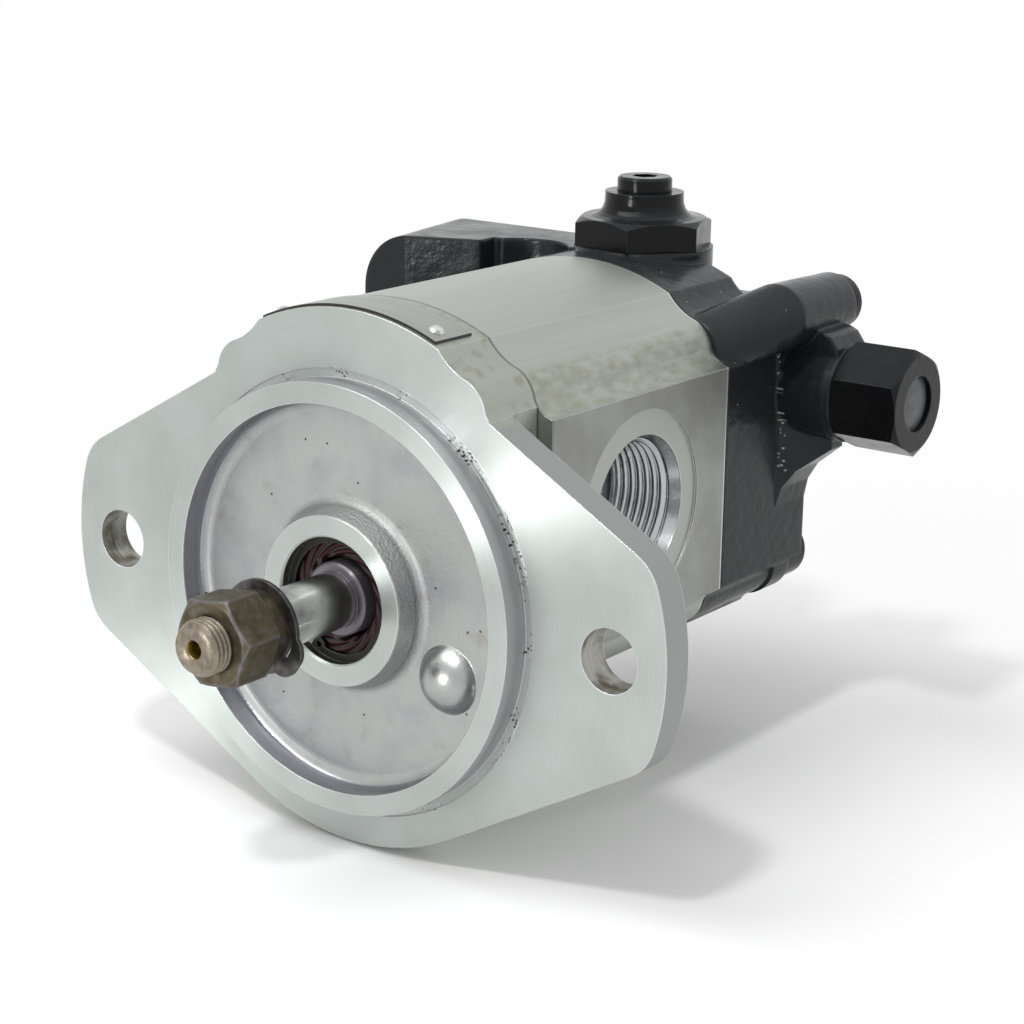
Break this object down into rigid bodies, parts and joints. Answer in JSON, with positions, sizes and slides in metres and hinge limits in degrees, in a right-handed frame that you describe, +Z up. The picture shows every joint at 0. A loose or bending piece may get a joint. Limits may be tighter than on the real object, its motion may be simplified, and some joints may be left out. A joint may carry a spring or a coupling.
{
  "type": "hydraulic gear charge pump",
  "caption": "Gear charge pump with a two-bolt pilot flange, nutted drive shaft, extruded housing with a side inlet, and a black rear cover that carries relief and priority valves.",
  "frame": {"origin": "on the shaft axis, in the plane of the flange's mounting face (the pilot's root)", "axes": "+Y along the pump axis towards the rear cover, +Z up towards the driven gear, +X towards the inlet port"},
  "size_m": [0.1752, 0.1935, 0.1452],
  "materials": {
    "machined_aluminium": "satin machined",
    "extruded_aluminium": "extruded, slightly stained",
    "black_paint": "gloss black paint over cast iron",
    "black_plugs": "gloss black paint over steel",
    "grey_disc": "dull grey",
    "ground_steel": "ground bright",
    "inner_steel": "hardened and ground",
    "zinc_plate": "olive zinc plate, dulled",
    "dark_steel": "dark oiled steel",
    "spring_steel": "oiled spring wire",
    "bearing_metal": "fine machined",
    "bush_metal": "plain bearing metal",
    "seal_rubber": "dark red-brown",
    "black_rubber": "matt black",
    "plate_metal": "plain, bare",
    "rivet_metal": "bright"
  },
  "bodies": {
    "pump_body": {"front_cover": "machined_aluminium", "gear_housing": "extruded_aluminium", "rear_cover": "black_paint", "relief_plug": "black_plugs", "spool_cap": "black_plugs", "rear_plug": "black_plugs", "housing_bolts": "black_plugs", "spool_cap_disc": "grey_disc", "relief_seat": "inner_steel", "dowel_pins": "inner_steel", "retaining_ring": "dark_steel", "relief_spring": "spring_steel", "spool_spring": "spring_steel", "garter_spring": "spring_steel", "front_bearing_block": "bearing_metal", "rear_bearing_block": "bearing_metal", "front_bushes": "bush_metal", "rear_bushes": "bush_metal", "shaft_seal": "seal_rubber", "front_pressure_seal": "black_rubber", "rear_pressure_seal": "black_rubber", "front_body_seal": "black_rubber", "rear_body_seal": "black_rubber", "gallery_o_ring": "black_rubber", "relief_o_ring": "black_rubber", "spool_cap_o_ring": "black_rubber", "rear_plug_o_ring": "black_rubber", "nameplate": "plate_metal", "nameplate_rivets": "rivet_metal"},
    "drive_shaft": {"drive_shaft": "ground_steel", "woodruff_key": "inner_steel", "tab_washer": "dark_steel", "shaft_nut": "zinc_plate"},
    "driven_shaft": {"driven_shaft": "ground_steel"},
    "relief_poppet": {"relief_poppet": "inner_steel"},
    "relief_adjuster": {"relief_adjuster": "black_plugs"},
    "priority_spool": {"priority_spool": "inner_steel"}
  },
  "joints": [
    {"name": "shaft_spin", "type": "hinge", "parent": "pump_body", "child": "drive_shaft", "pos_m": [0, 0, 0], "axis": [0, 1, 0], "continuous": true},
    {"name": "driven_spin", "type": "hinge", "parent": "pump_body", "child": "driven_shaft", "pos_m": [0, 0, 0.033], "axis": [0, 1, 0], "continuous": true},
    {"name": "relief_lift", "type": "slide", "parent": "pump_body", "child": "relief_poppet", "axis": [0, 0, 1], "range_m": [0, 0.0015], "stiffness_N_per_m": 2000, "springref_m": -0.002, "deforming": ["relief_spring"]},
    {"name": "spool_slide", "type": "slide", "parent": "pump_body", "child": "priority_spool", "axis": [1, 0, 0], "range_m": [0, 0.004], "stiffness_N_per_m": 1000, "springref_m": -0.002, "deforming": ["spool_spring"]},
    {"name": "adjuster_travel", "type": "slide", "parent": "pump_body", "child": "relief_adjuster", "axis": [0, 0, 1], "range_m": [0, 0.003]}
  ],
  "couplings": [
    {"joint": "driven_spin", "follows": "shaft_spin", "ratio": -1}
  ]
}
